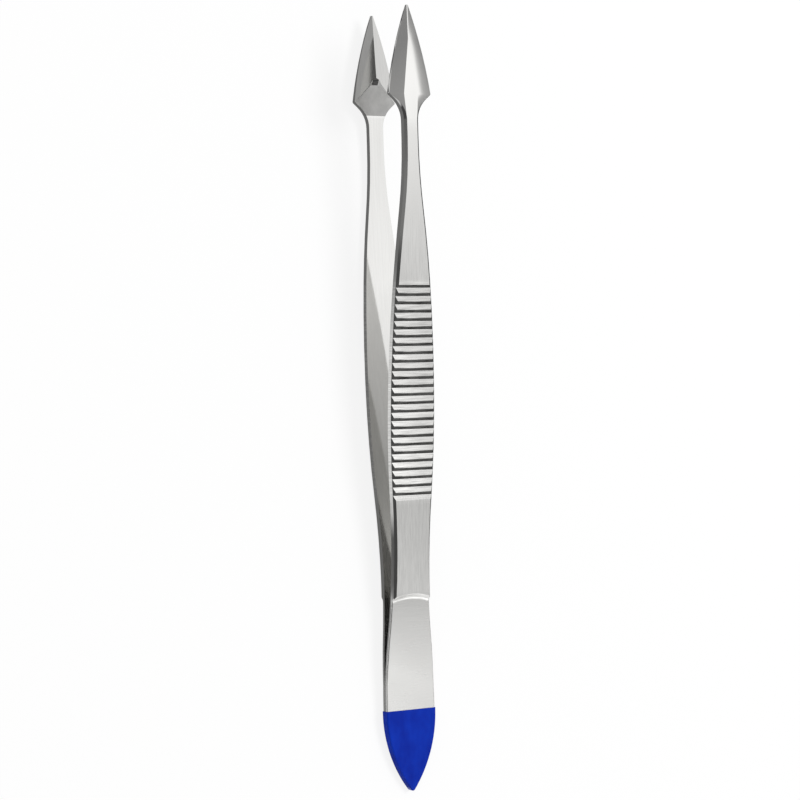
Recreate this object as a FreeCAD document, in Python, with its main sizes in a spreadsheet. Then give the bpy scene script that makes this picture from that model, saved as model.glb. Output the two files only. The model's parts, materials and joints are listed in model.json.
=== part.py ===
"""Splinter thumb forceps: two stainless arms welded at the rear, with a dip-coated blue end.

Each arm is drawn in the instrument's own frame: x runs from the tip to the rear end,
y across the width, and z outwards from the plane in which the two arms are welded.
"""
import FreeCAD, Part
import math
import os

import Sketcher

# Driving sizes in millimetres and degrees. Places are measured from the tip unless the name says otherwise.
SIZES = {
    # whole instrument
    "overall_length": 115.0,
    "arm_thickness": 1.25,
    "leaf_thickness": 0.6,
    "weld_length": 15.5,
    "splay_angle": 3.9,
    "bow_start": 18.0,
    "bow_end": 40.0,
    # plan outline
    "tip_width": 0.25,
    "jaw_width": 6.9,
    "jaw_side_radius": 58.0,
    "jaw_corner_radius": 0.35,
    "jaw_rear_angle": 50.0,
    "neck_curve_radius": 4.0,
    "neck_start": 16.8,
    "neck_end": 19.5,
    "neck_width": 2.36,
    "taper_share": 0.25,
    "grip_middle": 60.0,
    "grip_width": 7.3,
    "waist_share": 0.55,
    "waist_to_rear": 34.0,
    "waist_width": 5.94,
    "leaf_share": 0.5,
    "rear_curve_length": 11.6,
    "rear_width": 8.1,
    "rear_point_radius": 0.25,
    # jaw
    "tip_opening": 10.1,
    "tip_thickness": 0.45,
    "ridge_length": 9.4,
    "ridge_height": 0.75,
    "inner_slope": 0.27,
    "recess_run": 1.0,
    "recess_width": 1.0,
    "recess_wall": 1.2,
    "recess_depth": 0.1,
    "recess_end": 15.0,
    "crest_start": 5.0,
    "crest_width": 0.16,
    "jaw_flat_width": 2.3,
    "outer_slope": 0.12,
    # long edges, shoulder and leaf
    "edge_bevel": 0.35,
    "leaf_length": 29.05,
    "shoulder_run": 0.6,
    "shoulder_radius": 10.0,
    "shoulder_root_radius": 0.8,
    "leaf_edge_radius": 0.15,
    # serrated grip
    "serration_start": 40.8,
    "serration_pitch": 1.2135,
    "serration_count": 26,
    "serration_depth": 0.3,
    "serration_flank": 0.42,
    "serration_land": 0.08,
    # blue end
    "coating_length": 11.85,
    "coating_thickness": 0.12,
}

# Places worked out from the driving sizes. One formula may use those above it.
LAYOUT = {
    "weld_start": "Sizes.overall_length - Sizes.weld_length",
    "blank_half": "(Sizes.grip_width + Sizes.rear_width + Sizes.jaw_width) / 2",
    "margin": "Sizes.arm_thickness",
    "before_tip": "-Sizes.arm_thickness",
    "rear_curve_start": "Sizes.overall_length - Sizes.rear_curve_length",
    "waist": "Sizes.overall_length - Sizes.waist_to_rear",
    "shoulder": "Sizes.overall_length - Sizes.leaf_length",
    # inner and outer face seen from the side
    "slope": "tan(Sizes.splay_angle)",
    "bow_radius": "(Sizes.bow_end - Sizes.bow_start) / sin(Sizes.splay_angle)",
    "bow_end_inner": "(weld_start - Sizes.bow_end) * slope",
    "neck_inner": "bow_end_inner + bow_radius * (1 - cos(Sizes.splay_angle))",
    "neck_outer": "neck_inner + Sizes.arm_thickness",
    "bow_outer_radius": "bow_radius + Sizes.arm_thickness",
    "bow_end_outer_x": "Sizes.bow_end + Sizes.arm_thickness * sin(Sizes.splay_angle)",
    "bow_end_outer": "bow_end_inner + Sizes.arm_thickness * cos(Sizes.splay_angle)",
    "shoulder_outer": "bow_end_outer - (shoulder - bow_end_outer_x) * slope",
    "shoulder_step": "Sizes.arm_thickness - Sizes.leaf_thickness",
    "shoulder_wall": "sqrt(Sizes.shoulder_run ^ 2 + shoulder_step ^ 2)",
    "root_reach": "Sizes.shoulder_root_radius * (shoulder_wall - Sizes.shoulder_run) / shoulder_step",
    "wheel_floor": "-shoulder_step",
    "wheel_back": "-Sizes.shoulder_radius - Sizes.shoulder_run * margin / shoulder_step",
    "wheel_wall_end": "Sizes.shoulder_run * (1 - root_reach / shoulder_wall) - Sizes.shoulder_radius",
    "wheel_wall_end_height": "shoulder_step * (root_reach / shoulder_wall - 1)",
    "wheel_floor_start": "Sizes.shoulder_run + root_reach - Sizes.shoulder_radius",
    "serration_outer": "bow_end_outer - (Sizes.serration_start - bow_end_outer_x) * slope",
    "leaf_start": "shoulder + Sizes.shoulder_radius / 2",
    "leaf_start_outer": "bow_end_outer - (leaf_start - bow_end_outer_x) * slope",
    "leaf_start_leaf": "(weld_start - leaf_start) * slope + Sizes.leaf_thickness / cos(Sizes.splay_angle)",
    "weld_start_outer_x": "weld_start + Sizes.leaf_thickness * tan(Sizes.splay_angle / 2)",
    # jaw seen from the side
    "tip_inner": "Sizes.tip_opening / 2",
    "tip_outer": "tip_inner + Sizes.tip_thickness",
    "ridge_end_inner": "tip_inner - Sizes.ridge_height",
    "ridge_fall": "Sizes.ridge_height / Sizes.ridge_length",
    "ridge_blank_inner": "tip_inner - ridge_fall * Sizes.recess_end",
    "recess_floor": "neck_inner + Sizes.recess_depth",
    "recess_floor_start": "Sizes.ridge_length + Sizes.recess_run",
    "recess_front": "Sizes.ridge_length - Sizes.recess_run",
    "recess_front_inner": "2 * ridge_end_inner - recess_floor",
    "crest_rise": "(neck_outer - tip_outer) / Sizes.neck_start",
    # plan outline, half widths
    "tip_half": "Sizes.tip_width / 2",
    "jaw_half": "Sizes.jaw_width / 2",
    "neck_half": "Sizes.neck_width / 2",
    "neck_flat_half": "neck_half - Sizes.edge_bevel",
    "grip_half": "Sizes.grip_width / 2",
    "waist_half": "Sizes.waist_width / 2",
    "rear_half": "Sizes.rear_width / 2",
    "jaw_rear_x": "Sizes.neck_start - Sizes.neck_curve_radius * sin(Sizes.jaw_rear_angle)",
    "jaw_rear_half": "neck_half + Sizes.neck_curve_radius * (1 - cos(Sizes.jaw_rear_angle))",
    "jaw_corner": "jaw_rear_x - (jaw_half - jaw_rear_half) / tan(Sizes.jaw_rear_angle)",
    "taper_x": "Sizes.neck_end + Sizes.taper_share * (Sizes.grip_middle - Sizes.neck_end)",
    "taper_half": "neck_half + Sizes.taper_share * (grip_half - neck_half)",
    "taper_in_run": "taper_x - Sizes.neck_end",
    "taper_in_rise": "taper_half - neck_half",
    "taper_in_radius": "(taper_in_run ^ 2 + taper_in_rise ^ 2) / 2 / taper_in_rise",
    "taper_out_run": "Sizes.grip_middle - taper_x",
    "taper_out_rise": "grip_half - taper_half",
    "taper_out_radius": "(taper_out_run ^ 2 + taper_out_rise ^ 2) / 2 / taper_out_rise",
    "waist_in_x": "Sizes.grip_middle + Sizes.waist_share * (waist - Sizes.grip_middle)",
    "waist_in_half": "grip_half - Sizes.waist_share * (grip_half - waist_half)",
    "waist_in_run": "waist_in_x - Sizes.grip_middle",
    "waist_in_fall": "grip_half - waist_in_half",
    "waist_in_radius": "(waist_in_run ^ 2 + waist_in_fall ^ 2) / 2 / waist_in_fall",
    "waist_out_run": "waist - waist_in_x",
    "waist_out_fall": "waist_in_half - waist_half",
    "waist_out_radius": "(waist_out_run ^ 2 + waist_out_fall ^ 2) / 2 / waist_out_fall",
    "leaf_x": "waist + Sizes.leaf_share * (rear_curve_start - waist)",
    "leaf_half": "waist_half + Sizes.leaf_share * (rear_half - waist_half)",
    "leaf_in_run": "leaf_x - waist",
    "leaf_in_rise": "leaf_half - waist_half",
    "leaf_in_radius": "(leaf_in_run ^ 2 + leaf_in_rise ^ 2) / 2 / leaf_in_rise",
    "leaf_out_run": "rear_curve_start - leaf_x",
    "leaf_out_rise": "rear_half - leaf_half",
    "leaf_out_radius": "(leaf_out_run ^ 2 + leaf_out_rise ^ 2) / 2 / leaf_out_rise",
    "rear_run": "Sizes.overall_length - Sizes.rear_point_radius - rear_curve_start",
    "rear_rise": "rear_half - Sizes.rear_point_radius",
    "rear_radius": "(rear_run ^ 2 + rear_half ^ 2 - Sizes.rear_point_radius ^ 2) / 2 / rear_rise",
    "rear_point": "rear_curve_start + sqrt(rear_radius ^ 2 - (rear_radius - rear_half) ^ 2)",
    "behind_end": "rear_point + margin",
    # coating round the welded end, an even skin over the leaves
    "coating_start": "Sizes.overall_length - Sizes.coating_length",
    "coating_end": "Sizes.overall_length + Sizes.coating_thickness",
    "coating_rise": "Sizes.leaf_thickness + Sizes.coating_thickness",
    "coating_edge": "Sizes.leaf_edge_radius + Sizes.coating_thickness",
    "coating_side_radius": "leaf_out_radius + Sizes.coating_thickness",
    "coating_side_half": "rear_half - leaf_out_radius + sqrt(coating_side_radius ^ 2 - leaf_out_run ^ 2)",
    "coating_half": "rear_half + Sizes.coating_thickness",
    "coating_rear_radius": "rear_radius + Sizes.coating_thickness",
    "coating_point": "rear_curve_start + sqrt(coating_rear_radius ^ 2 - (rear_radius - rear_half) ^ 2)",
    "coating_point_radius": "Sizes.rear_point_radius + Sizes.coating_thickness",
    # lying at rest on the bow of one arm and on the coated end
    "bow_centre_depth": "bow_outer_radius - neck_outer",
    "edge_centre_x": "coating_end - coating_edge",
    "edge_centre_depth": "coating_rise - coating_edge",
    "rest_run": "edge_centre_x - Sizes.bow_start",
    "rest_drop": "bow_centre_depth + edge_centre_depth",
    "rest_distance": "sqrt(rest_run ^ 2 + rest_drop ^ 2)",
    "rest_angle": "asin((bow_outer_radius - coating_edge) / rest_distance) - atan(rest_drop / rest_run)",
    "rest_sine": "sin(rest_angle)",
    "rest_cosine": "cos(rest_angle)",
    "rest_height": "bow_outer_radius + Sizes.bow_start * rest_sine - bow_centre_depth * rest_cosine",
    "tips_reach": "tip_outer * rest_sine",
    "rear_reach": "coating_edge + edge_centre_x * rest_cosine + edge_centre_depth * rest_sine",
    "rest_shift": "(tips_reach - rear_reach) / 2",
}

# Two places nearer than this, in millimetres, are one place.
NEAR = 0.01

doc = FreeCAD.newDocument("forceps")

sheet = doc.addObject("Spreadsheet::Sheet", "Sizes")
for row, (alias, size) in enumerate(SIZES.items(), start=1):
    sheet.set(f"A{row}", alias)
    sheet.set(f"B{row}", str(size))
    sheet.setAlias(f"B{row}", alias)

layout = doc.addObject("App::VarSet", "Layout")
for name, formula in LAYOUT.items():
    layout.addProperty("App::PropertyFloat", name)
    layout.setExpression(name, formula)
doc.recompute()


def number(name):
    """The present value of a driving size or of a place worked out from them, or 0 as it is."""
    if name == "0":
        return 0.0
    return float(sheet.get(name)) if name in SIZES else getattr(layout, name)


def reference(name):
    """The expression that follows a named size or place, or 0 as it is."""
    if name == "0":
        return name
    return f"Sizes.{name}" if name in SIZES else f"Layout.{name}"


def new_sketch(body, name, plane, x=None, z=None, turn=None, away=None):
    """A sketch on one of the body's planes, moved in it, turned in it and moved off it by expressions."""
    sketch = body.newObject("Sketcher::SketchObject", name)
    base = next(item for item in body.Origin.OriginFeatures if item.Role == plane)
    sketch.AttachmentSupport = [(base, "")]
    sketch.MapMode = "FlatFace"
    if x:
        sketch.setExpression("AttachmentOffset.Base.x", x)
    if z:
        sketch.setExpression("AttachmentOffset.Base.y", z)
    if away:
        sketch.setExpression("AttachmentOffset.Base.z", away)
    if turn:
        sketch.AttachmentOffset.Rotation = FreeCAD.Rotation(FreeCAD.Vector(0, 0, 1), -1)
        sketch.setExpression("AttachmentOffset.Rotation.Angle", turn)
    return sketch


def hold_point(sketch, edge, end, place, x, y):
    """Hold the end of a sketch edge at two coordinates, each an expression, or on an axis for 0."""
    for kind, axis, now, expression in (("DistanceX", -2, place.x, x), ("DistanceY", -1, place.y, y)):
        if expression == "0":
            sketch.addConstraint(Sketcher.Constraint("PointOnObject", edge, end, axis))
        else:
            index = sketch.addConstraint(Sketcher.Constraint(kind, -1, 1, edge, end, now))
            sketch.setExpression(f"Constraints[{index}]", expression)


def draw_polygon(sketch, corners):
    """A closed polygon whose corners are pairs of expressions."""
    count = len(corners)
    turns = [2 * math.pi * i / count for i in range(count)]
    places = [FreeCAD.Vector(math.cos(turn), math.sin(turn), 0) for turn in turns]
    for i in range(count):
        sketch.addGeometry(Part.LineSegment(places[i], places[(i + 1) % count]))
    for i in range(count):
        sketch.addConstraint(Sketcher.Constraint("Coincident", i, 2, (i + 1) % count, 1))
        hold_point(sketch, i, 1, places[i], *corners[i])


def arc_between(start, end, radius, bend):
    """The short arc from start to end, bending to the left (1) or to the right (-1)."""
    chord = end - start
    half = chord.Length / 2
    side = FreeCAD.Vector(-chord.y, chord.x, 0).normalize()
    centre = (start + end) / 2 + side * bend * math.sqrt(max(radius ** 2 - half ** 2, 0.0))
    circle = Part.Circle(centre, FreeCAD.Vector(0, 0, 1), radius)
    first, last = (start, end) if bend > 0 else (end, start)
    return Part.ArcOfCircle(circle, circle.parameter(first), circle.parameter(last))


def draw_outline(sketch, corners, arcs):
    """A closed outline through named places; arcs maps a side's number to its radius and bend."""
    places = [FreeCAD.Vector(number(x), number(y), 0) for x, y in corners]
    count = len(places)
    starts = []
    for i in range(count):
        start, end = places[i], places[(i + 1) % count]
        if i in arcs:
            radius, bend = arcs[i]
            sketch.addGeometry(arc_between(start, end, number(radius), bend))
            starts.append(1 if bend > 0 else 2)
        else:
            sketch.addGeometry(Part.LineSegment(start, end))
            starts.append(1)
    for i, (x, y) in enumerate(corners):
        after = (i + 1) % count
        sketch.addConstraint(Sketcher.Constraint("Coincident", i, 3 - starts[i], after, starts[after]))
        hold_point(sketch, i, starts[i], places[i], reference(x), reference(y))
    for i, (radius, bend) in arcs.items():
        index = sketch.addConstraint(Sketcher.Constraint("Radius", i, number(radius)))
        sketch.setExpression(f"Constraints[{index}]", reference(radius))


def add_feature(body, kind, name, **settings):
    """A feature at the end of the body's history."""
    feature = body.newObject(f"PartDesign::{kind}", name)
    for key, value in settings.items():
        setattr(feature, key, value)
    body.Tip = feature
    return feature


def edges_where(feature, test):
    """The names of the edges whose ends and middle all pass the test."""
    names = []
    for i, edge in enumerate(feature.Shape.Edges, start=1):
        middle = edge.valueAt((edge.FirstParameter + edge.LastParameter) / 2)
        if all(test(point) for point in [vertex.Point for vertex in edge.Vertexes] + [middle]):
            names.append(f"Edge{i}")
    return names


def outer_height(x):
    """Height of the arm's outer face above the weld plane, behind the neck."""
    if x < number("bow_start"):
        return number("neck_outer")
    if x < number("bow_end_outer_x"):
        run = x - number("bow_start")
        radius = number("bow_outer_radius")
        return number("neck_outer") - radius + math.sqrt(radius ** 2 - run ** 2)
    return number("bow_end_outer") - (x - number("bow_end_outer_x")) * number("slope")


def leaf_height(x):
    """Height of the spring leaf's outer face above the weld plane."""
    bend = number("weld_start_outer_x")
    return number("leaf_thickness") + max(bend - x, 0.0) * number("slope")


def make_arm(name):
    """One arm, ground from a single bar."""
    body = doc.addObject("PartDesign::Body", name)
    body.Label = name

    # The arm seen from the side: jaw, parallel neck, bowed and straight run, leaf and weld face.
    side = new_sketch(body, f"{name}_side", "XZ_Plane")
    draw_outline(side, [
        ("0", "tip_inner"),
        ("0", "neck_outer"),
        ("bow_start", "neck_outer"),
        ("bow_end_outer_x", "bow_end_outer"),
        ("leaf_start", "leaf_start_outer"),
        ("leaf_start", "leaf_start_leaf"),
        ("weld_start_outer_x", "leaf_thickness"),
        ("behind_end", "leaf_thickness"),
        ("behind_end", "0"),
        ("weld_start", "0"),
        ("bow_end", "bow_end_inner"),
        ("bow_start", "neck_inner"),
        ("recess_end", "neck_inner"),
        ("recess_end", "ridge_blank_inner"),
    ], {2: ("bow_outer_radius", -1), 10: ("bow_radius", 1)})
    blank = add_feature(body, "Pad", f"{name}_blank", Profile=side, SideType="Symmetric")
    blank.setExpression("Length", "2 * Layout.blank_half")

    # The plan outline: everything outside it is ground away, first on one side and then on the other.
    plan = new_sketch(body, f"{name}_plan", "XY_Plane")
    draw_outline(plan, [
        ("before_tip", "tip_half"),
        ("0", "tip_half"),
        ("jaw_corner", "jaw_half"),
        ("jaw_rear_x", "jaw_rear_half"),
        ("neck_start", "neck_half"),
        ("neck_end", "neck_half"),
        ("taper_x", "taper_half"),
        ("grip_middle", "grip_half"),
        ("waist_in_x", "waist_in_half"),
        ("waist", "waist_half"),
        ("leaf_x", "leaf_half"),
        ("rear_curve_start", "rear_half"),
        ("rear_point", "0"),
        ("behind_end", "0"),
        ("behind_end", "blank_half"),
        ("before_tip", "blank_half"),
    ], {1: ("jaw_side_radius", -1), 3: ("neck_curve_radius", 1), 5: ("taper_in_radius", 1),
        6: ("taper_out_radius", -1), 7: ("waist_in_radius", -1), 8: ("waist_out_radius", 1),
        9: ("leaf_in_radius", 1), 10: ("leaf_out_radius", -1), 11: ("rear_radius", -1)})
    outline = add_feature(body, "Pocket", f"{name}_outline", Profile=plan, SideType="Symmetric")
    outline.setExpression("Length", "4 * Layout.neck_outer")
    both_sides = add_feature(body, "Mirrored", f"{name}_both_sides", Originals=[outline])
    both_sides.MirrorPlane = (plan, ["H_Axis"])
    doc.recompute()

    # The rear point is rounded.
    point_edges = edges_where(both_sides, lambda place: abs(place.x - number("rear_point")) < NEAR)
    point = add_feature(body, "Fillet", f"{name}_rear_point", Base=(both_sides, point_edges))
    point.setExpression("Radius", "Sizes.rear_point_radius")
    doc.recompute()
    # The long outer edges are bevelled from the neck to the shoulder.
    first, last = number("jaw_corner") - NEAR, number("leaf_start") + NEAR
    long_edges = edges_where(point, lambda place: first < place.x < last
                             and abs(place.y) > number("neck_flat_half")
                             and abs(place.z - outer_height(place.x)) < NEAR)
    bevel = add_feature(body, "Chamfer", f"{name}_long_edges", Base=(point, long_edges))
    bevel.setExpression("Size", "Sizes.edge_bevel")
    doc.recompute()

    # Outside, the jaw has a narrow crest that widens into the neck's flat, with a facet on each side.
    facets = []
    for station, half in (("Layout.before_tip", "Sizes.crest_width / 2"),
                          ("Sizes.crest_start", "Sizes.crest_width / 2"),
                          ("Layout.jaw_corner", "Sizes.jaw_flat_width / 2"),
                          ("Sizes.neck_start", "Layout.neck_flat_half")):
        section = new_sketch(body, f"{name}_outer_section_{len(facets)}", "YZ_Plane", away=station)
        crest = f"Layout.tip_outer + Layout.crest_rise * {station}"
        edge = f"{crest} - Sizes.outer_slope * (Layout.blank_half - {half})"
        draw_polygon(section, [
            ("Layout.blank_half", "Layout.neck_outer + Layout.margin"),
            ("-Layout.blank_half", "Layout.neck_outer + Layout.margin"),
            ("-Layout.blank_half", edge),
            (f"-({half})", crest),
            (half, crest),
            ("Layout.blank_half", edge),
        ])
        facets.append(section)
    outside = add_feature(body, "SubtractiveLoft", f"{name}_outer_facets",
                          Profile=facets[0], Sections=facets[1:], Ruled=True)
    doc.recompute()
    # The corners of the arrow head are rounded.
    corner_edges = edges_where(outside, lambda place: abs(place.x - number("jaw_corner")) < NEAR
                               and abs(place.y) > number("jaw_half") - NEAR)
    corners = add_feature(body, "Fillet", f"{name}_jaw_corners", Base=(outside, corner_edges))
    corners.setExpression("Radius", "Sizes.jaw_corner_radius")
    doc.recompute()

    # Inside, two flanks fall away from a ridge, as on a low roof.
    flanks = []
    for station in ("Layout.before_tip", "Sizes.recess_end"):
        section = new_sketch(body, f"{name}_inner_section_{len(flanks)}", "YZ_Plane", away=station)
        ridge = f"Layout.tip_inner - Layout.ridge_fall * {station}"
        edge = f"{ridge} + Sizes.inner_slope * Layout.blank_half"
        draw_polygon(section, [
            ("0", ridge),
            ("Layout.blank_half", edge),
            ("Layout.blank_half", "0"),
            ("-Layout.blank_half", "0"),
            ("-Layout.blank_half", edge),
        ])
        flanks.append(section)
    add_feature(body, "SubtractiveLoft", f"{name}_inner_flanks",
                Profile=flanks[0], Sections=flanks[1:], Ruled=True)
    doc.recompute()
    # A recess with sloping walls cuts the ridge off and widens to the corners of the arrow head.
    cuts = []
    for station, floor, half in (
            ("Layout.recess_front", "Layout.recess_front_inner", "Sizes.recess_width / 2"),
            ("Layout.recess_floor_start", "Layout.recess_floor", "Sizes.recess_width / 2"),
            ("Layout.jaw_corner", "Layout.recess_floor", "Layout.jaw_half"),
            ("Sizes.recess_end", "Layout.neck_inner", "Layout.jaw_half")):
        section = new_sketch(body, f"{name}_recess_section_{len(cuts)}", "YZ_Plane", away=station)
        mouth = f"{half} + Sizes.recess_wall * {floor}"
        draw_polygon(section, [
            (mouth, "0"),
            (half, floor),
            (f"-({half})", floor),
            (f"-({mouth})", "0"),
        ])
        cuts.append(section)
    add_feature(body, "SubtractiveLoft", f"{name}_recess",
                Profile=cuts[0], Sections=cuts[1:], Ruled=True)
    doc.recompute()

    # A grinding wheel with a rounded rim leaves the arched shoulder where the thick arm drops to the leaf.
    wheel = new_sketch(body, f"{name}_wheel", "XZ_Plane", turn="-Sizes.splay_angle",
                       x="Layout.shoulder + Sizes.shoulder_radius * cos(Sizes.splay_angle)",
                       z="Layout.shoulder_outer - Sizes.shoulder_radius * sin(Sizes.splay_angle)")
    rim = [
        ("0", "margin"),
        ("wheel_back", "margin"),
        ("wheel_wall_end", "wheel_wall_end_height"),
        ("wheel_floor_start", "wheel_floor"),
        ("0", "wheel_floor"),
    ]
    draw_outline(wheel, rim, {2: ("shoulder_root_radius", 1)})
    shoulder = add_feature(body, "Groove", f"{name}_shoulder", Profile=wheel, Midplane=True)
    shoulder.ReferenceAxis = (wheel, ["V_Axis"])
    shoulder.Angle = 90
    doc.recompute()

    leaf_edges = edges_where(shoulder, lambda place: place.x > number("shoulder") + number("shoulder_run")
                             and abs(place.y) > number("neck_half")
                             and abs(place.z - leaf_height(place.x)) < NEAR)
    leaf = add_feature(body, "Fillet", f"{name}_leaf_edges", Base=(shoulder, leaf_edges))
    leaf.setExpression("Radius", "Sizes.leaf_edge_radius")
    doc.recompute()

    # The finger grip: one saw-tooth groove across the outer face, repeated along it.
    tooth = new_sketch(body, f"{name}_tooth", "XZ_Plane", turn="-Sizes.splay_angle",
                       x="Sizes.serration_start",
                       z="Layout.serration_outer")
    draw_polygon(tooth, [
        ("0", "0"),
        ("Sizes.serration_flank", "-Sizes.serration_depth"),
        ("Sizes.serration_pitch - Sizes.serration_land", "0"),
    ])
    groove = add_feature(body, "Pocket", f"{name}_groove", Profile=tooth, SideType="Symmetric")
    groove.setExpression("Length", "2 * Layout.blank_half")
    doc.recompute()
    grip = add_feature(body, "LinearPattern", f"{name}_grip", Originals=[groove], Mode="Spacing")
    grip.Direction = (tooth, ["H_Axis"])
    grip.setExpression("Offset", "Sizes.serration_pitch")
    grip.setExpression("Occurrences", "Sizes.serration_count")
    doc.recompute()
    return body


def lay_down(body, turned_over):
    """Lay a body on the floor, tips raised: as drawn, or first turned over about the long axis."""
    over = "180" if turned_over else "0"
    body.setExpression("Placement", "placement(vector(Layout.rest_shift; 0; Layout.rest_height);"
                       " rotation(vector(0; 1; 0); Layout.rest_angle)"
                       f" * rotation(vector(1; 0; 0); {over}))")


def make_coating(arms):
    """The skin of dip coating round the welded end: a grown blank less the two arms."""
    body = doc.addObject("PartDesign::Body", "coating_body")
    plan = new_sketch(body, "coating_plan", "XY_Plane")
    draw_outline(plan, [
        ("leaf_x", "0"),
        ("coating_point", "0"),
        ("rear_curve_start", "coating_half"),
        ("leaf_x", "coating_side_half"),
    ], {1: ("coating_rear_radius", 1), 2: ("coating_side_radius", 1)})
    half = add_feature(body, "Pad", "coating_half_blank", Profile=plan, SideType="Symmetric")
    half.setExpression("Length", "2 * Layout.coating_rise")
    blank = add_feature(body, "Mirrored", "coating_blank", Originals=[half])
    blank.MirrorPlane = (plan, ["H_Axis"])
    doc.recompute()
    point_edges = edges_where(blank, lambda place: abs(place.x - number("coating_point")) < NEAR)
    point = add_feature(body, "Fillet", "coating_round_point", Base=(blank, point_edges))
    point.setExpression("Radius", "Layout.coating_point_radius")

    # The coating ends in a straight line across the leaves.
    front = new_sketch(body, "coating_front", "XY_Plane", x="Layout.coating_start")
    draw_polygon(front, [
        ("0", "Layout.blank_half"),
        ("-Sizes.overall_length", "Layout.blank_half"),
        ("-Sizes.overall_length", "-Layout.blank_half"),
        ("0", "-Layout.blank_half"),
    ])
    end = add_feature(body, "Pocket", "coating_end_line", Profile=front, SideType="Symmetric")
    end.setExpression("Length", "4 * Layout.coating_rise")
    doc.recompute()
    line = number("coating_start") + NEAR
    flat_edges = edges_where(end, lambda place: abs(abs(place.z) - number("coating_rise")) < NEAR
                             and place.x > line)
    rounded = add_feature(body, "Fillet", "coating_edges", Base=(end, flat_edges))
    rounded.setExpression("Radius", "Layout.coating_edge")
    lay_down(body, False)
    doc.recompute()

    leaves = doc.addObject("Part::MultiFuse", "leaves")
    leaves.Shapes = arms
    skin = doc.addObject("Part::Cut", "end_coating")
    skin.Label = "end_coating"
    skin.Base = body
    skin.Tool = leaves
    return skin


upper_arm = make_arm("upper_arm")
lay_down(upper_arm, False)
lower_arm = make_arm("lower_arm")
lay_down(lower_arm, True)
end_coating = make_coating([upper_arm, lower_arm])
doc.recompute()

for item in doc.Objects:
    if "Invalid" in item.State or "Error" in item.State:
        raise RuntimeError(f"{item.Name}: {item.State} {item.getStatusString()}")
    shape = getattr(item, "Shape", None)
    if shape is not None and (shape.isNull() or not shape.isValid()):
        raise RuntimeError(f"{item.Name} has no valid shape")

os.makedirs("parts", exist_ok=True)
for item in (upper_arm, lower_arm, end_coating):
    item.Shape.exportStep(f"parts/{item.Label}.step")
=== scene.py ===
import json
import math

import bpy
from mathutils import Matrix, Vector


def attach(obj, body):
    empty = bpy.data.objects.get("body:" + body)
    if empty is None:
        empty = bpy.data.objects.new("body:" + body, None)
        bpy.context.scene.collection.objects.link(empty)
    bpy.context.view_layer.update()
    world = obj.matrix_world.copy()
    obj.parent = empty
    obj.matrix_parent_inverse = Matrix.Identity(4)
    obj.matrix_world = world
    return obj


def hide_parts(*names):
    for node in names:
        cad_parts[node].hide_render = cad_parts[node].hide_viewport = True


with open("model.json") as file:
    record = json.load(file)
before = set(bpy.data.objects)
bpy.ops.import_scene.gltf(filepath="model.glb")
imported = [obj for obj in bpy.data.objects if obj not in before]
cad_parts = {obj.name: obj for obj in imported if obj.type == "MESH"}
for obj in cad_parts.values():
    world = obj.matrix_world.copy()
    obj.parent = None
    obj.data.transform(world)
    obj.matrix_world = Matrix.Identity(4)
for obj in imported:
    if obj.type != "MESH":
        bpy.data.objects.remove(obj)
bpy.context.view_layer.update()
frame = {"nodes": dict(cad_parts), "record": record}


# The two arms. Each is one bar of stainless steel, forged and then ground to an arrow-head jaw, a square
# neck, a serrated finger grip and a thin spring leaf. The outer faces have a satin brushed finish, the
# inner faces are polished bright, and every sharp edge is broken on a soft wheel before the arms are welded.
MM = 0.001
BROKEN_EDGE = 0.045 * MM

# The instrument's own axes: x from the tips to the rear end, y across, z out of the upper arm. It lies
# with its tips raised, turned about y by the slope of the coated faces.
upper_face, lower_face = (
    next(mount for mount in frame["record"]["mounts"] if mount["name"] == name)
    for name in ("coated_end_upper_face", "coated_end_lower_face")
)
FACES_FROM_TIPS = 108.0 * MM
REST_ANGLE = math.asin(upper_face["axis"][0])
weld_middle = (Vector(upper_face["pos_m"]) + Vector(lower_face["pos_m"])) / 2
lying = Matrix.Rotation(REST_ANGLE, 4, "Y")
lying.translation = weld_middle - lying @ Vector((FACES_FROM_TIPS, 0, 0))
own_axes = lying.inverted()


def own_millimetres(tree):
    """Object coordinates turned into the instrument's own axes, in millimetres from the tips."""
    coordinates = tree.nodes.new("ShaderNodeTexCoord")
    own = tree.nodes.new("ShaderNodeMapping")
    own.vector_type = "TEXTURE"
    own.inputs["Location"].default_value = lying.translation
    own.inputs["Rotation"].default_value = (0, REST_ANGLE, 0)
    own.inputs["Scale"].default_value = (MM, MM, MM)
    tree.links.new(coordinates.outputs["Object"], own.inputs["Vector"])
    return own.outputs["Vector"]


def brush_lines(tree, place, lengthwise, crosswise, detail=3.0):
    """Grinding lines as a stretched noise, with so many grains to the millimetre along and across the arm."""
    stretched = tree.nodes.new("ShaderNodeMapping")
    stretched.inputs["Scale"].default_value = (lengthwise, crosswise, crosswise)
    noise = tree.nodes.new("ShaderNodeTexNoise")
    noise.inputs["Scale"].default_value = 1.0
    noise.inputs["Detail"].default_value = detail
    noise.inputs["Roughness"].default_value = 0.6
    tree.links.new(place, stretched.inputs["Vector"])
    tree.links.new(stretched.outputs["Vector"], noise.inputs["Vector"])
    return noise.outputs["Fac"]


def spread(tree, value, low, high, from_low=0.3, from_high=0.7):
    """A value between from_low and from_high, where most of a noise lies, brought to between low and high."""
    scaled = tree.nodes.new("ShaderNodeMapRange")
    for name, number in (("From Min", from_low), ("From Max", from_high), ("To Min", low), ("To Max", high)):
        scaled.inputs[name].default_value = number
    tree.links.new(value, scaled.inputs["Value"])
    return scaled.outputs["Result"]


def part_of_length(tree, place, start, end):
    """0 before start and 1 after end, both in millimetres from the tips."""
    parts = tree.nodes.new("ShaderNodeSeparateXYZ")
    tree.links.new(place, parts.inputs["Vector"])
    return spread(tree, parts.outputs["X"], 0.0, 1.0, start, end)


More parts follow.
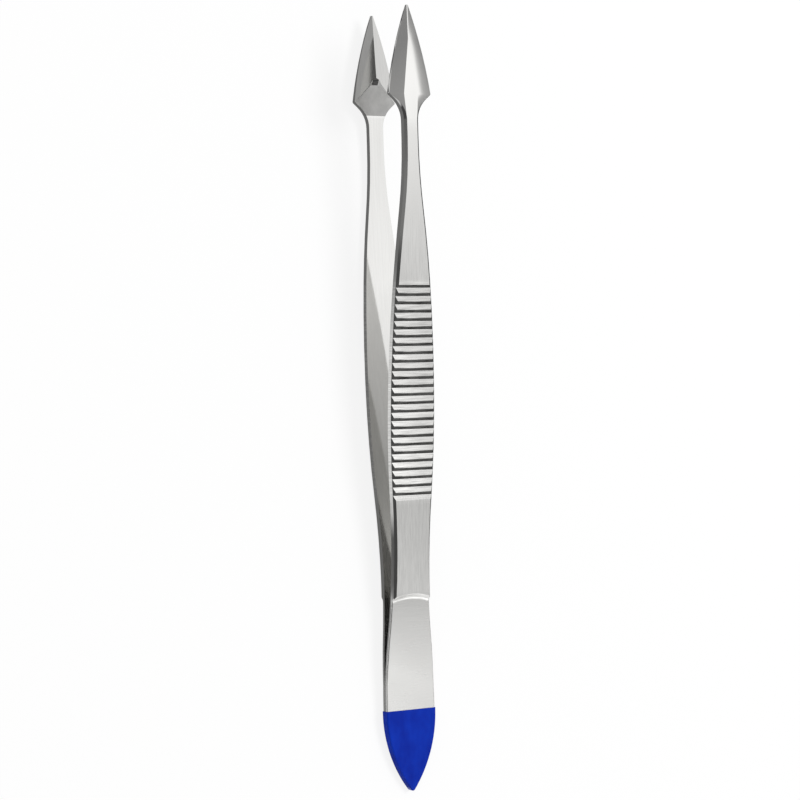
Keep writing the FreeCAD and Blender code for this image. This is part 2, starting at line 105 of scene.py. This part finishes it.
def feed(tree, value, socket):
    """Give a socket its value, which is a number or another socket."""
    if isinstance(value, float):
        socket.default_value = value
    else:
        tree.links.new(value, socket)


def combined(tree, operation, first, second):
    """Two values, each a number or a socket, put together by one sum."""
    sum_node = tree.nodes.new("ShaderNodeMath")
    sum_node.operation = operation
    feed(tree, first, sum_node.inputs[0])
    feed(tree, second, sum_node.inputs[1])
    return sum_node.outputs["Value"]


def blend(tree, share, first, second):
    """A value that goes from first to second, each a number or a socket, as the share goes from 0 to 1."""
    mix = tree.nodes.new("ShaderNodeMix")
    tree.links.new(share, mix.inputs["Factor"])
    feed(tree, first, mix.inputs["A"])
    feed(tree, second, mix.inputs["B"])
    return mix.outputs["Result"]


def colour_between(tree, share, first, second):
    """A colour that goes from first to second as the share goes from 0 to 1."""
    mix = tree.nodes.new("ShaderNodeMix")
    mix.data_type = "RGBA"
    mix.inputs["A"].default_value = first
    mix.inputs["B"].default_value = second
    tree.links.new(share, mix.inputs["Factor"])
    return mix.outputs["Result"]


def add_relief(tree, height, strength, depth):
    """Shallow relief on the material's shader, from a height between 0 and 1."""
    bump = tree.nodes.new("ShaderNodeBump")
    bump.inputs["Strength"].default_value = strength
    bump.inputs["Distance"].default_value = depth
    tree.links.new(height, bump.inputs["Height"])
    tree.links.new(bump.outputs["Normal"], tree.nodes["Principled BSDF"].inputs["Normal"])


def new_material(name):
    material = bpy.data.materials.new(name)
    material.use_nodes = True
    return material


BLACK = (0, 0, 0, 1)
WARM_STEEL = (1.0, 0.995, 0.975, 1)
BRUSH_DEPTH = 0.01 * MM


def finish_steel(material, grain, tone, roughness, relief):
    """Bare stainless steel, faintly warm: how light, how rough and how deeply brushed it is."""
    tree = material.node_tree
    shader = tree.nodes["Principled BSDF"]
    shader.inputs["Metallic"].default_value = 1.0
    tree.links.new(colour_between(tree, tone, BLACK, WARM_STEEL), shader.inputs["Base Color"])
    tree.links.new(roughness, shader.inputs["Roughness"])
    add_relief(tree, grain, relief, BRUSH_DEPTH)


# Where one finish starts to give way to the next and where it has, in millimetres from the tips.
NECK_TO_TAPER = (26.0, 36.0)
GRIP_FRONT = (40.0, 40.5)
GRIP_REAR = (71.0, 73.0)
SHOULDER = (85.5, 87.0)
# Over the next span the leaf is painted lighter towards its end, a painted highlight for the light along it.
LEAF_PAINTED_HIGHLIGHT = (86.0, 100.0)
# Over the next span the inner faces are painted darker, a painted shade between the arms.
INSIDE_PAINTED_SHADE = (62.0, 72.0)
INSIDE_DULLS = (84.0, 90.0)

# The grain of a face that has no lines in it.
PLAIN_GRAIN = 0.5


def outside_steel():
    """Bright and smooth on the jaw and neck, lined lengthwise behind them, brushed across on the leaf. The
    grip's lines run up to near white, partly random tone and partly painted highlight, and a painted
    highlight lightens the leaf towards its end.
    """
    material = new_material("outside_steel")
    tree = material.node_tree
    place = own_millimetres(tree)
    behind_neck = part_of_length(tree, place, *NECK_TO_TAPER)
    behind_grip = part_of_length(tree, place, *GRIP_REAR)
    grip = combined(tree, "SUBTRACT", part_of_length(tree, place, *GRIP_FRONT), behind_grip)
    leaf = part_of_length(tree, place, *SHOULDER)

    taper_lines = brush_lines(tree, place, lengthwise=0.1, crosswise=5.0)
    grip_lines = brush_lines(tree, place, lengthwise=7.0, crosswise=0.35)
    leaf_lines = brush_lines(tree, place, lengthwise=5.0, crosswise=0.25)
    grain = blend(tree, grip, blend(tree, behind_neck, PLAIN_GRAIN, taper_lines), grip_lines)
    grain = blend(tree, leaf, grain, leaf_lines)
    lines = spread(tree, grain, 0.0, 1.0)

    plain_tone = blend(tree, lines, 0.58, 0.67)
    # On the grip the lines run from steel grey up to near white: partly the grip's random tone, partly
    # painted highlights for the light its lands catch.
    grip_grain_and_highlight = blend(tree, lines, 0.56, 0.92)
    # A painted highlight: the leaf's tone is raised towards its end.
    leaf_painted_highlight = blend(tree, part_of_length(tree, place, *LEAF_PAINTED_HIGHLIGHT), 0.0, 0.34)
    leaf_tone = combined(tree, "ADD", blend(tree, lines, 0.57, 0.64), leaf_painted_highlight)
    tone = blend(tree, leaf, blend(tree, grip, plain_tone, grip_grain_and_highlight), leaf_tone)

    arm_roughness = blend(tree, behind_grip, 0.10, 0.17)
    leaf_roughness = blend(tree, lines, 0.22, 0.28)
    roughness = blend(tree, leaf, arm_roughness, leaf_roughness)
    finish_steel(material, grain, tone, roughness, relief=0.12)
    return material


def inside_steel():
    """The faces that look at the other arm, polished bright lengthwise and duller between the leaves, and
    painted darker towards the rear, a painted shade where the arms close together.
    """
    material = new_material("inside_steel")
    tree = material.node_tree
    place = own_millimetres(tree)
    grain = brush_lines(tree, place, lengthwise=0.08, crosswise=4.0)
    front_tone = spread(tree, grain, 0.62, 0.66)
    rear_painted_shade_tone = spread(tree, grain, 0.57, 0.61)
    polished = spread(tree, grain, 0.05, 0.08)
    dull = spread(tree, grain, 0.24, 0.30)
    tone = blend(tree, part_of_length(tree, place, *INSIDE_PAINTED_SHADE), front_tone, rear_painted_shade_tone)
    roughness = blend(tree, part_of_length(tree, place, *INSIDE_DULLS), polished, dull)
    finish_steel(material, grain, tone, roughness, relief=0.02)
    return material


def recess_steel():
    """The floor of the recess behind the jaw's ridge, left matt from the small wheel that cut it."""
    material = new_material("recess_steel")
    tree = material.node_tree
    grain = brush_lines(tree, own_millimetres(tree), lengthwise=0.5, crosswise=0.7)
    tone = spread(tree, grain, 0.50, 0.66)
    roughness = spread(tree, grain, 0.36, 0.44)
    finish_steel(material, grain, tone, roughness, relief=0.05)
    return material


def groove_painted_shade():
    """The steep side of each grip groove and the rear end of the jaw's ridge: a painted shade, near black,
    where these faces lie in shadow, on a rough matt steel.
    """
    material = new_material("groove_painted_shade")
    tree = material.node_tree
    grain = brush_lines(tree, own_millimetres(tree), lengthwise=6.0, crosswise=0.6)
    tone = spread(tree, grain, 0.01, 0.12)
    roughness = spread(tree, grain, 0.4, 0.55)
    finish_steel(material, grain, tone, roughness, relief=0.1)
    return material


def only_select(piece):
    bpy.ops.object.select_all(action="DESELECT")
    piece.select_set(True)
    bpy.context.view_layer.objects.active = piece


JOIN_WITHIN = 0.002 * MM
FLAT_WITHIN = math.radians(0.3)
SHARP_ABOVE = math.radians(14)
SMOOTH_UP_TO = math.radians(35)


def broken_edges(piece, width, segments):
    """Join the solid's loose facets, break its sharp edges and smooth what is left round."""
    only_select(piece)
    bpy.ops.object.mode_set(mode="EDIT")
    bpy.ops.mesh.select_all(action="SELECT")
    bpy.ops.mesh.customdata_custom_splitnormals_clear()
    bpy.ops.mesh.remove_doubles(threshold=JOIN_WITHIN)
    bpy.ops.mesh.dissolve_limited(angle_limit=FLAT_WITHIN)
    bpy.ops.object.mode_set(mode="OBJECT")
    edges = piece.modifiers.new("broken_edges", "BEVEL")
    edges.width = width
    edges.segments = segments
    edges.limit_method = "ANGLE"
    edges.angle_limit = SHARP_ABOVE
    edges.miter_outer = "MITER_ARC"
    bpy.ops.object.modifier_apply(modifier=edges.name)
    bpy.ops.object.shade_smooth_by_angle(angle=SMOOTH_UP_TO)


def flat_faces(piece):
    """Keep the large faces flat and let the small ones between them turn the corner."""
    flats = piece.modifiers.new("flat_faces", "WEIGHTED_NORMAL")
    flats.keep_sharp = True
    flats.use_face_influence = True
    flats.weight = 100
    only_select(piece)
    bpy.ops.object.modifier_apply(modifier=flats.name)


# The crest ends so many millimetres from the tips. Its faces look outwards and hardly tilt to the sides.
CREST_END = 20.0
CREST_FACING = 0.9
CREST_TILT = 0.03


def crease_jaw(arm, outwards):
    """Outside, the jaw's crest runs softly into one of its facets and meets the other in a sharp crease."""
    mesh = arm.data
    only_select(arm)
    bpy.ops.object.mode_set(mode="EDIT")
    bpy.ops.mesh.select_all(action="DESELECT")
    bpy.ops.object.mode_set(mode="OBJECT")
    for face in mesh.polygons:
        place = own_axes @ face.center / MM
        normal = own_axes.to_3x3() @ face.normal
        looks_out = normal.z * outwards > CREST_FACING and abs(normal.y) < CREST_TILT
        face.select = place.x < CREST_END and looks_out
    bpy.ops.object.mode_set(mode="EDIT")
    bpy.ops.mesh.mod_weighted_strength(set=True, face_strength="STRONG")
    bpy.ops.mesh.region_to_loop()
    bpy.ops.object.mode_set(mode="OBJECT")
    for edge in mesh.edges:
        start, end = (mesh.vertices[index].co for index in edge.vertices)
        middle = own_axes @ ((start + end) / 2) / MM
        if edge.select and middle.y < 0:
            edge.use_edge_sharp = True


def copy_of_node(node, name):
    """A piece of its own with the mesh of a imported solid, which it stands for."""
    piece = bpy.data.objects.new(name, frame["nodes"][node].data.copy())
    bpy.context.scene.collection.objects.link(piece)
    piece.data.materials.clear()
    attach(piece, "root")
    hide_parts(node)
    return piece


# The four finishes of an arm, in the order of its material slots; the fourth is a painted shade for the grip
# grooves' steep sides and the ridge's rear end. JAW_END is in millimetres from the tips.
# The values after it say how far a face's normal turns inwards, rearwards or sideways.
FINISHES = (outside_steel(), inside_steel(), recess_steel(), groove_painted_shade())
OUTSIDE, INSIDE, RECESS, SHADED_GROOVE = range(4)
JAW_END = 15.1
INSIDE_FACING = 0.6
GROOVE_TURN = 0.4
RIDGE_REAR_TURN = 0.3
RIDGE_SIDE_TILT = (0.15, 0.4)


def finish_of(place, normal, outwards):
    """Which finish a face has, from its place in millimetres and its normal in the instrument's axes."""
    facing = normal.z * outwards
    tilt = abs(normal.y)
    # The steep sides of the grip's grooves get the painted shade.
    if GRIP_FRONT[0] < place.x < GRIP_REAR[1] and normal.x > GROOVE_TURN and facing > GROOVE_TURN:
        return SHADED_GROOVE
    if facing > -INSIDE_FACING:
        return OUTSIDE
    if place.x > JAW_END or RIDGE_SIDE_TILT[0] < tilt < RIDGE_SIDE_TILT[1]:
        return INSIDE
    # The ridge's rear end gets the painted shade, and the recess floor gets its matt finish.
    return SHADED_GROOVE if normal.x > RIDGE_REAR_TURN and tilt < RIDGE_SIDE_TILT[0] else RECESS


def finish_arm(node, name, outwards):
    """One arm, each of its faces with its finish; outwards is 1 for the upper arm and -1 for the lower."""
    arm = copy_of_node(node, name)
    broken_edges(arm, BROKEN_EDGE, segments=2)
    crease_jaw(arm, outwards)
    flat_faces(arm)
    for finish in FINISHES:
        arm.data.materials.append(finish)
    for face in arm.data.polygons:
        place = own_axes @ face.center / MM
        face.material_index = finish_of(place, own_axes.to_3x3() @ face.normal, outwards)


finish_arm("upper_arm", "upper_arm_ground", 1)
finish_arm("lower_arm", "lower_arm_ground", -1)


# The blue end. The welded rear end is dipped in a hard glossy paint, which forms a thin skin over both
# leaves, rounded at its edges, with a soft lip along the dip line.
LIP = 0.05 * MM
PAINT_WAVES = 0.02 * MM
THIN_BLUE = (0.001, 0.016, 0.29, 1)
THICK_BLUE = (0.002, 0.030, 0.40, 1)


def blue_paint():
    """Glossy blue dip paint, a little uneven in depth."""
    paint = new_material("blue_dip_paint")
    tree = paint.node_tree
    shader = tree.nodes["Principled BSDF"]
    shader.inputs["Specular IOR Level"].default_value = 0.1
    place = own_millimetres(tree)
    cloud = brush_lines(tree, place, lengthwise=0.25, crosswise=0.4, detail=2.0)
    thickness = spread(tree, cloud, 0.0, 1.0)
    tree.links.new(colour_between(tree, thickness, THIN_BLUE, THICK_BLUE), shader.inputs["Base Color"])
    patches = brush_lines(tree, place, lengthwise=0.6, crosswise=0.6)
    tree.links.new(spread(tree, patches, 0.22, 0.27), shader.inputs["Roughness"])
    add_relief(tree, cloud, strength=0.05, depth=PAINT_WAVES)
    return paint


coating = copy_of_node("end_coating", "blue_end")
broken_edges(coating, LIP, segments=3)
flat_faces(coating)
coating.data.materials.append(blue_paint())


# The table under the instrument, a large matt white board. The eye sees it evenly white. In the metal it
# is bright under the tips, dimmer under the grip and bright again at the rear.
TABLE_SIZE = 6.0
TABLE_WHITE = (0.9, 0.9, 0.9, 1.0)
TABLE_GLOW = 0.84

# Brightness along the table in the metal, in pairs of metres and tone. A ramp's tones stop at 1, so it
# holds each tone as a share of BRIGHTEST.
TABLE_TONES = (
    (-0.10, 0.8), (-0.05, 0.8), (-0.035, 1.2), (-0.02, 1.2), (-0.01, 1.0), (0.01, 0.7), (0.045, 0.65),
    (0.06, 1.5), (0.11, 1.9), (0.20, 1.6), (0.30, 0.8),
)
BRIGHTEST = 2.0


def place_parts(tree):
    """The sockets X, Y and Z of a place in the studio, in metres."""
    parts = tree.nodes.new("ShaderNodeSeparateXYZ")
    tree.links.new(tree.nodes.new("ShaderNodeTexCoord").outputs["Object"], parts.inputs["Vector"])
    return parts.outputs


def tone_ramp(tree, value, tones):
    """Brightness along a value; tones are pairs of value and brightness, from the lowest value up."""
    low, high = tones[0][0], tones[-1][0]
    node = tree.nodes.new("ShaderNodeValToRGB")
    ramp = node.color_ramp
    while len(ramp.elements) < len(tones):
        ramp.elements.new(0.5)
    for element, (at, brightness) in zip(ramp.elements, tones):
        element.position = (at - low) / (high - low)
        element.color = (brightness, brightness, brightness, 1)
    tree.links.new(spread(tree, value, 0.0, 1.0, low, high), node.inputs["Fac"])
    return node.outputs["Color"]


def seen_share(tree, bright):
    """bright for what the eye, a reflection or a refraction sees, and 0 for plain lighting."""
    path = tree.nodes.new("ShaderNodeLightPath")
    seen = combined(tree, "MAXIMUM", path.outputs["Is Camera Ray"], path.outputs["Is Glossy Ray"])
    seen = combined(tree, "MAXIMUM", seen, path.outputs["Is Transmission Ray"])
    return combined(tree, "MULTIPLY", seen, bright)


def white_table():
    """Matt white, under a glow that shows to the eye and in reflections and adds no light."""
    material = new_material("white_table")
    tree = material.node_tree
    shader = tree.nodes["Principled BSDF"]
    shader.inputs["Base Color"].default_value = TABLE_WHITE
    shader.inputs["Roughness"].default_value = 0.9
    shader.inputs["Specular IOR Level"].default_value = 0.0
    shares = [(at, tone / BRIGHTEST) for at, tone in TABLE_TONES]
    mirrored = combined(tree, "MULTIPLY", tone_ramp(tree, place_parts(tree)["X"], shares), BRIGHTEST)
    in_metal = tree.nodes.new("ShaderNodeLightPath").outputs["Is Glossy Ray"]
    glow = tree.nodes.new("ShaderNodeEmission")
    tree.links.new(blend(tree, in_metal, 1.0, mirrored), glow.inputs["Strength"])
    ground = tree.nodes.new("ShaderNodeMixShader")
    tree.links.new(seen_share(tree, TABLE_GLOW), ground.inputs["Fac"])
    tree.links.new(shader.outputs["BSDF"], ground.inputs[1])
    tree.links.new(glow.outputs["Emission"], ground.inputs[2])
    tree.links.new(ground.outputs["Shader"], tree.nodes["Material Output"].inputs["Surface"])
    return material


bpy.ops.mesh.primitive_plane_add(size=TABLE_SIZE, location=(0, 0, 0))
table = bpy.context.object
table.name = "table"
table.data.materials.append(white_table())


# Four glowing cards, laid flat beside and under the instrument, whose tones paint the dark and bright lines
# of its polished edges and inner faces as painted reflections. They show in the metal alone.
CARD_HEIGHT = 0.1 * MM

# Each card: its near and far edges, and its glow along it in pairs of metres and tone.
CARDS = {
    "near_card": (-0.2, -0.0055, (
        (-0.045, 0.22), (-0.022, 0.22), (-0.008, 0.8), (0.017, 0.8), (0.0205, 0.12), (0.027, 0.12),
        (0.030, 0.9), (0.08, 0.9),
    )),
    "edge_card": (-0.0055, -0.0005, ((-0.075, 0.2), (0.08, 0.2))),
    "tip_card": (-0.0089, -0.0055, ((-0.075, 0.15), (-0.045, 0.15))),
    "far_card": (0.012, 0.058, ((-0.08, 0.08), (0.05, 0.08))),
}


def glowing(name, strength):
    """A material that only glows, and the node that glows, whose colour is still to be given."""
    material = new_material(name)
    tree = material.node_tree
    tree.nodes.clear()
    glow = tree.nodes.new("ShaderNodeEmission")
    glow.inputs["Strength"].default_value = strength
    output = tree.nodes.new("ShaderNodeOutputMaterial")
    tree.links.new(glow.outputs["Emission"], output.inputs["Surface"])
    return material, glow


def only_in_metal(piece):
    """A piece of the studio that neither the eye nor plain lighting meets."""
    piece.visible_camera = False
    piece.visible_diffuse = False
    piece.visible_shadow = False


for name, (near_edge, far_edge, tones) in CARDS.items():
    start, end = tones[0][0], tones[-1][0]
    middle = ((start + end) / 2, (near_edge + far_edge) / 2, CARD_HEIGHT)
    bpy.ops.mesh.primitive_plane_add(size=1.0, location=middle)
    card = bpy.context.object
    card.name = name
    card.scale = (end - start, far_edge - near_edge, 1)
    bpy.ops.object.transform_apply(location=True, rotation=False, scale=True)
    paper, glow = glowing(name, strength=1.0)
    tree = paper.node_tree
    tree.links.new(tone_ramp(tree, place_parts(tree)["X"], tones), glow.inputs["Color"])
    card.data.materials.append(paper)
    only_in_metal(card)


# The tent, cloth bent over the table as a half cylinder along the instrument. It is nearly black on the
# near side and banded bright and grey overhead, and it shows in the metal alone.
TENT_RADIUS = 0.75
TENT_LENGTH = 3.0
TENT_STEPS = 64
TENT_BRIGHTNESS = 2.0

# Brightness in pairs of degrees and tone. Overhead and at the rear the angle runs from the near side to
# the far side. Lengthwise and on the near side it runs from the tips to the rear.
OVERHEAD_TONES = (
    (-90, 0.4), (-12, 0.44), (4, 0.44), (12, 0.24), (21, 0.22), (24, 0.8), (31.4, 0.82), (34, 0.48),
    (36.5, 0.33), (44, 0.26), (50, 0.4), (56, 0.95), (62, 0.95), (70, 0.12), (90, 0.05),
)
LENGTHWISE_TONES = (
    (-90, 1.0), (-26, 1.0), (-21, 0.55), (-15, 0.5), (-12, 1.0), (-10, 0.9), (-7, 0.78), (-3, 0.72),
    (1, 0.64), (5, 0.58), (12, 0.5), (15.4, 0.54), (16, 0.62), (21, 0.8), (90, 0.9),
)
NEAR_SIDE_TONES = ((-90, 0.14), (-9, 0.14), (-6, 0.04), (90, 0.03))
REAR_TONES = ((-90, 0.4), (-20, 0.4), (-12, 0.95), (50, 0.95), (60, 0.48), (90, 0.48))
NEAR_SIDE_TO_OVERHEAD = (-20, -12)
OVERHEAD_TO_REAR = (28, 40)


def angle_of(tree, side, height):
    """The angle in degrees, from straight up, of a place that lies so far to the side and so high."""
    return combined(tree, "MULTIPLY", combined(tree, "ARCTAN2", side, height), math.degrees(1))


def tent_cloth():
    """Cloth that glows with the tones above, as if lamps behind it lit it in bands."""
    material, glow = glowing("tent_cloth", TENT_BRIGHTNESS)
    tree = material.node_tree
    parts = place_parts(tree)
    around = angle_of(tree, parts["Y"], parts["Z"])
    lengthwise = angle_of(tree, parts["X"], TENT_RADIUS)
    overhead = combined(tree, "MULTIPLY", tone_ramp(tree, around, OVERHEAD_TONES),
                        tone_ramp(tree, lengthwise, LENGTHWISE_TONES))
    near_side = tone_ramp(tree, lengthwise, NEAR_SIDE_TONES)
    rear = tone_ramp(tree, around, REAR_TONES)
    past_near_side = spread(tree, around, 0.0, 1.0, *NEAR_SIDE_TO_OVERHEAD)
    past_overhead = spread(tree, lengthwise, 0.0, 1.0, *OVERHEAD_TO_REAR)
    tone = blend(tree, past_overhead, blend(tree, past_near_side, near_side, overhead), rear)
    tree.links.new(tone, glow.inputs["Color"])
    return material


bpy.ops.mesh.primitive_cylinder_add(vertices=TENT_STEPS, radius=TENT_RADIUS, depth=TENT_LENGTH,
                                    end_fill_type="NOTHING", rotation=(0, math.pi / 2, 0))
tent = bpy.context.object
tent.name = "tent"
bpy.ops.object.transform_apply(location=True, rotation=True, scale=True)
bpy.ops.object.mode_set(mode="EDIT")
bpy.ops.mesh.select_all(action="SELECT")
bpy.ops.mesh.bisect(plane_co=(0, 0, 0), plane_no=(0, 0, 1), clear_inner=True)
bpy.ops.object.mode_set(mode="OBJECT")
tent.data.materials.append(tent_cloth())
only_in_metal(tent)


# The light: an even white room round everything, and one soft round lamp above the far side of the table,
# which lights the blue end and throws the instrument's soft shadow.
AMBIENT = 0.6
LAMP_PLACE = Vector((-0.15, 0.35, 0.75))
LAMP_SIZE = 0.35
LAMP_POWER = 4.0

world = bpy.data.worlds.new("studio")
bpy.context.scene.world = world
world.use_nodes = True
tree = world.node_tree
background = tree.nodes["Background"]
background.inputs["Color"].default_value = (1, 1, 1, 1)
tree.links.new(spread(tree, seen_share(tree, 1.0), AMBIENT, 1.0, 0.0, 1.0), background.inputs["Strength"])

lamp = bpy.data.lights.new("soft_lamp", "AREA")
lamp.shape = "DISK"
lamp.size = LAMP_SIZE
lamp.energy = LAMP_POWER
soft_lamp = bpy.data.objects.new("soft_lamp", lamp)
soft_lamp.location = LAMP_PLACE
soft_lamp.rotation_euler = LAMP_PLACE.to_track_quat("Z", "Y").to_euler()
soft_lamp.visible_glossy = False
bpy.context.scene.collection.objects.link(soft_lamp)


# The camera stands over the middle of the instrument, turned about its long axis towards the near side,
# and sees it upright with the tips at the top. Its turn, roll, distance and focal length were fitted to
# the outline in the photograph.
CAMERA_TURN = math.radians(29.37)
CAMERA_ROLL = 0.0295
CAMERA_DISTANCE = 352.2 * MM
FOCAL_LENGTH = 107.4
MIDDLE_FROM_TIPS = 57.5 * MM
NEAREST_SEEN = 10 * MM
centre = lying @ Vector((MIDDLE_FROM_TIPS, 0, 0))
turned = lying.to_3x3()
backward = turned @ Vector((0, -math.sin(CAMERA_TURN), math.cos(CAMERA_TURN)))
across = turned @ Vector((0, math.cos(CAMERA_TURN), math.sin(CAMERA_TURN)))
upward = turned @ Vector((-1, 0, 0))
right = across * math.cos(CAMERA_ROLL) - upward * math.sin(CAMERA_ROLL)
up = across * math.sin(CAMERA_ROLL) + upward * math.cos(CAMERA_ROLL)
lens = bpy.data.cameras.new("camera")
lens.lens = FOCAL_LENGTH
lens.clip_start = NEAREST_SEEN
camera = bpy.data.objects.new("camera", lens)
bpy.context.scene.collection.objects.link(camera)
place = centre + backward * CAMERA_DISTANCE
camera.matrix_world = Matrix((
    (right.x, up.x, backward.x, place.x),
    (right.y, up.y, backward.y, place.y),
    (right.z, up.z, backward.z, place.z),
    (0, 0, 0, 1),
))
bpy.context.scene.camera = camera
bpy.context.scene.view_settings.view_transform = "Standard"
